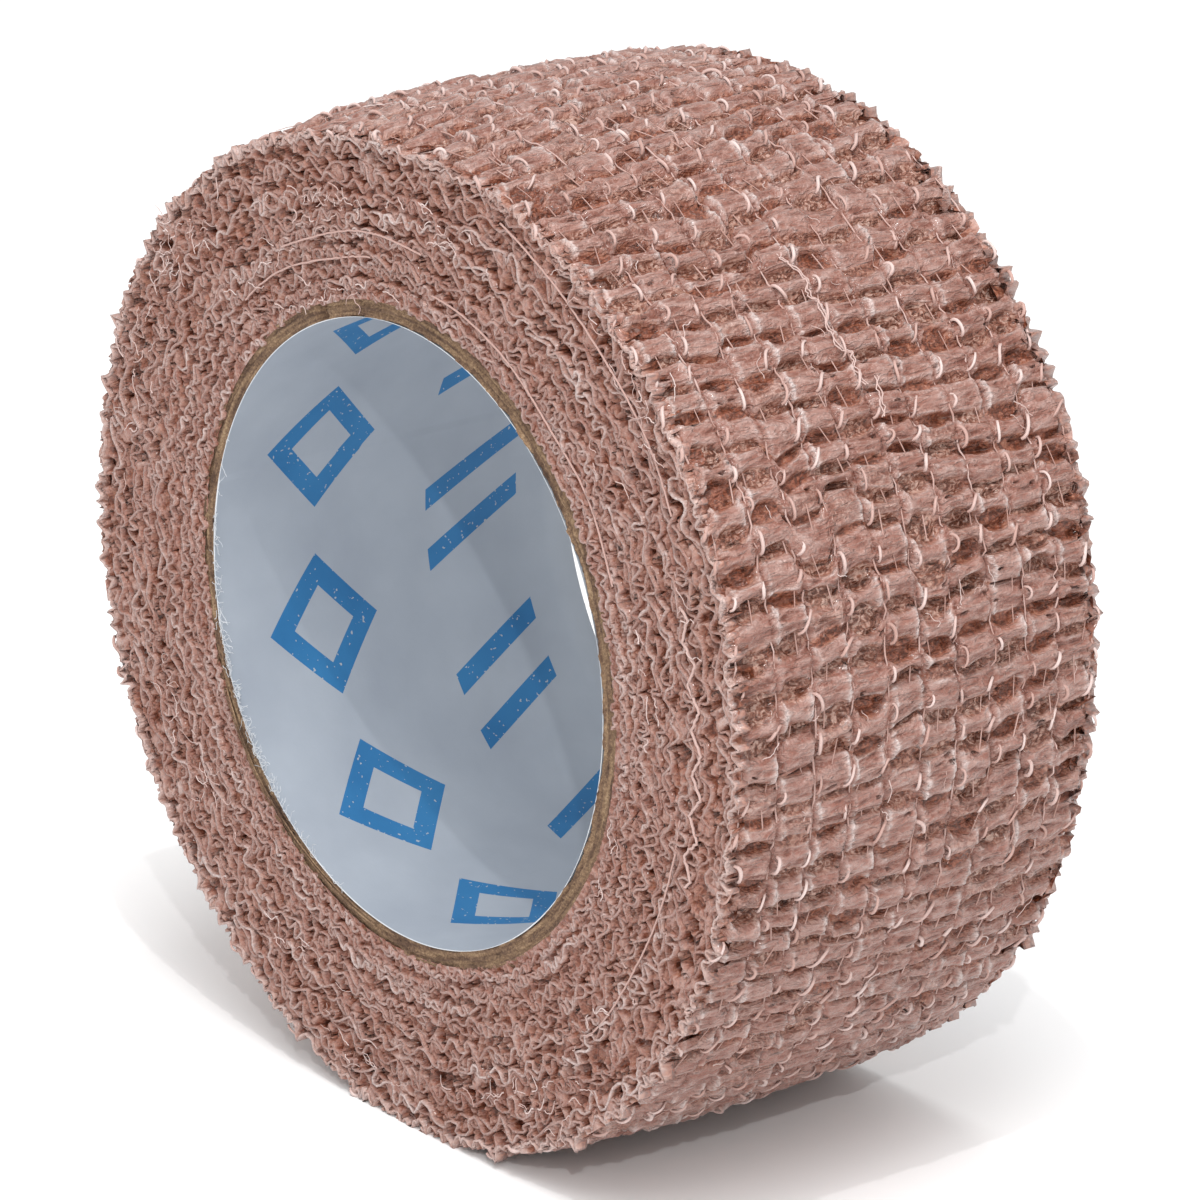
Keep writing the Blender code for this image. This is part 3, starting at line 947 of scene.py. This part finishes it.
def kraft_board():
    """Unbleached kraft paperboard, cut with a blade: brown, matt, its plies in fibrous streaks."""
    material, add, link, shader = new_material("kraft_paperboard_cut_edge")
    spot, parts, height, angle = core_places(add)
    from_axis = add("CombineXYZ", {"X": parts["X"], "Y": height})
    radius = add("VectorMath", {0: from_axis}, operation="LENGTH").outputs["Value"]
    # Plies about 0.25 mm thick, as streaks 3 mm long round the edge
    around = add("Math", {0: angle, 1: 6.0}, operation="MULTIPLY")
    across = add("Math", {0: radius, 1: 4 / MM}, operation="MULTIPLY")
    streaked = add("CombineXYZ", {"X": around, "Y": across})
    streak = add("TexNoise", {"Vector": streaked, "Scale": 1.0, "Detail": 3.0})
    # Wood fibres about 0.03 mm thick, drawn about 0.14 mm thick
    fibre = add("TexNoise", {"Vector": spot, "Scale": 7 / MM, "Detail": 5.0, "Roughness": 0.7})
    blend = add("Mix", {"Factor": 0.5, 2: fibre, 3: streak}, data_type="FLOAT")
    ramp = add("ValToRGB", {"Fac": blend})
    stops = ((0.32, "#38261b"), (0.45, "#5f4737"), (0.56, "#896e54"), (0.7, "#b69d7d"))
    link(set_ramp(ramp, stops), shader.inputs["Base Color"])
    bump = add("Bump", {"Height": blend, "Strength": 0.8, "Distance": 0.1 * MM})
    link(bump.outputs["Normal"], shader.inputs["Normal"])
    shader.inputs["Roughness"].default_value = 0.9
    return material


def printed_paper():
    """Coated white paper with blue ink: a row of open diamonds and a row of slanted bar pairs. The white
    and the ink are painted darker, as painted shade inside the tube.
    """
    material, add, link, shader = new_material("coated_paper_with_blue_print")
    spot, parts, _, angle = core_places(add)
    length = add("Math", {0: angle, 1: LINER_RADIUS}, operation="MULTIPLY")
    width = add("Math", {0: parts["Y"], 1: 1 / MM}, operation="MULTIPLY")
    pitch = math.tau * LINER_RADIUS / PRINT_REPEATS
    inked = []
    for middle, offset in ((DIAMOND_ROW, 0.0), (BAR_ROW, pitch / 2)):
        # Places in mm from the nearest motif's middle: along the row, then across it
        start = add("Math", {0: length, 1: offset}, operation="ADD")
        along = add("Math", {0: start, 1: pitch}, operation="FLOORED_MODULO")
        along = add("Math", {0: along, 1: pitch / 2}, operation="SUBTRACT")
        across = add("Math", {0: width, 1: middle}, operation="SUBTRACT")
        high = add("Math", {0: across}, operation="ABSOLUTE")
        if middle == DIAMOND_ROW:
            aside = add("Math", {0: along}, operation="ABSOLUTE")
            out = add("Math", {0: high, 1: DIAMOND_SLOPE}, operation="MULTIPLY")
            out = add("Math", {0: aside, 1: out}, operation="ADD")
            stroke = {0: out, 1: DIAMOND_REACH, 2: DIAMOND_STROKE / 2}
            inked.append(add("Math", stroke, operation="COMPARE"))
        else:
            slant = add("Math", {0: across, 1: 0.5, 2: along}, operation="MULTIPLY_ADD")
            aside = add("Math", {0: slant}, operation="ABSOLUTE")
            stroke = {0: aside, 1: BAR_APART / 2, 2: BAR_STROKE / 2}
            bar = add("Math", stroke, operation="COMPARE")
            tall = add("Math", {0: high, 1: BAR_HEIGHT / 2}, operation="LESS_THAN")
            inked.append(add("Math", {0: bar, 1: tall}, operation="MULTIPLY"))
    ink = add("Math", {0: inked[0], 1: inked[1]}, operation="MAXIMUM")
    # Faint clouds 5 mm wide in the paper, and pinholes under 0.25 mm wide that the ink missed
    cloud = add("TexNoise", {"Vector": spot, "Scale": 0.2 / MM, "Detail": 5.0})
    # The paper's white and the blue ink are painted grey and dark, as painted shade inside the tube
    paper, blue = (
        set_ramp(add("ValToRGB", {"Fac": cloud}), stops)
        for stops in (((0.3, "#9aa1ab"), (0.7, "#a5acb5")), ((0.3, "#28689a"), (0.7, "#3376a8")))
    )
    grain = add("TexNoise", {"Vector": spot, "Scale": 4 / MM, "Detail": 1.0})
    held = add("Math", {0: grain, 1: 0.7}, operation="LESS_THAN")
    ink = add("Math", {0: ink, 1: held}, operation="MULTIPLY")
    mixed = add("Mix", {"Factor": ink, 6: paper, 7: blue}, data_type="RGBA").outputs[2]
    # The blade leaves the front edge unprinted and white
    cut = add("Attribute", attribute_name="cut").outputs["Fac"]
    edged = add("Mix", {"Factor": cut, 6: mixed, 7: linear("#d3d6da")}, data_type="RGBA")
    link(edged.outputs[2], shader.inputs["Base Color"])
    bump = add("Bump", {"Height": grain, "Strength": 0.25, "Distance": 0.02 * MM})
    link(bump.outputs["Normal"], shader.inputs["Normal"])
    shader.inputs["Roughness"].default_value = 0.6
    shader.inputs["IOR"].default_value = 1.35
    return material


# ---- Set ----


def direction(azimuth, elevation):
    """Away from the roll, by degrees round from its front face and up from the floor."""
    turn, rise = math.radians(azimuth), math.radians(elevation)
    return Vector((math.sin(turn) * math.cos(rise), -math.cos(turn) * math.cos(rise), math.sin(rise)))


def make_set():
    """Plain pale floor, soft white surroundings, three soft lights and two small for glints."""
    scene = bpy.context.scene
    scene.view_settings.view_transform = "Standard"
    floor_mesh = bpy.data.meshes.new("floor")
    reach = 3.0
    corners = [(-reach, -reach, 0), (reach, -reach, 0), (reach, reach, 0), (-reach, reach, 0)]
    floor_mesh.from_pydata(corners, [], [(0, 1, 2, 3)])
    material, *_, shader = new_material("matt_white_floor")
    shader.inputs["Base Color"].default_value = linear("#fafafa")
    shader.inputs["Roughness"].default_value = 0.9
    floor_mesh.materials.append(material)
    floor = bpy.data.objects.new("floor", floor_mesh)
    scene.collection.objects.link(floor)

    world = bpy.data.worlds.new("soft_white_studio")
    world.use_nodes = True
    sky = world.node_tree.nodes["Background"]
    sky.inputs["Color"].default_value = (1, 1, 1, 1)
    sky.inputs["Strength"].default_value = 0.73
    scene.world = world

    centre = Vector((0, 0, AXIS_Z * MM))
    for name, azimuth, elevation, distance, size, power in (
        ("key_light", 50, 58, 0.5, 0.22, 0.75),
        ("top_light", 80, 80, 0.55, 0.3, 1.05),
        ("face_light", 28, 32, 0.6, 0.3, 0.4),
        ("glint_light", 54, 32, 0.6, 0.008, 0.6),
        ("high_glint_light", 50, 66, 0.6, 0.008, 0.5),
    ):
        lamp = bpy.data.lights.new(name, "AREA")
        lamp.size = size
        lamp.energy = power
        light = bpy.data.objects.new(name, lamp)
        away = direction(azimuth, elevation)
        light.location = centre + away * distance
        light.rotation_euler = away.to_track_quat("Z", "Y").to_euler()
        scene.collection.objects.link(light)


def make_camera():
    """The camera that the photograph was fitted with, level from side to side."""
    back = direction(CAMERA_AZIMUTH, CAMERA_ELEVATION)
    right = Vector((0, 0, 1)).cross(back).normalized()
    up = back.cross(right)
    centre = Vector((0, 0, AXIS_Z))
    spot = centre + back * CAMERA_DISTANCE + right * CAMERA_RIGHT + up * CAMERA_UP
    lens = bpy.data.cameras.new("camera")
    lens.lens = CAMERA_LENS
    lens.clip_start = 0.01
    camera = bpy.data.objects.new("camera", lens)
    axes = Matrix((right, up, back)).transposed().to_4x4()
    camera.matrix_world = Matrix.Translation(spot * MM) @ axes
    bpy.context.scene.collection.objects.link(camera)
    bpy.context.scene.camera = camera


def main():
    rng = np.random.default_rng(SEED)
    # Its dark end gives the painted shade and its pale end the painted highlights that the tint mark
    # carries
    tan = ((0.0, "#633325"), (0.3, "#8f6053"), (0.6, "#a6847b"), (1.0, "#d3c3bf"))
    cloth = latex_web("latex_soaked_nonwoven", tan, 0.32)
    thread = covered_thread()
    web = Web(rng)
    make_outer_turn(web, cloth, rng)
    make_threads(web, thread, rng)
    make_hooks(web, thread, rng)
    make_threads_beneath(web, thread, rng)
    board = kraft_board()
    make_face(web, 1, "front_face", 9, 1050, cloth, rng)
    make_face(web, -1, "back_face", 7, 480, cloth, rng)
    paper = printed_paper()
    make_strays(thread, rng)
    make_torn_core(board, paper, rng)
    make_flap(cloth)
    make_fibres(thread, rng)
    make_core(board, paper, rng)
    make_set()
    make_camera()


main()
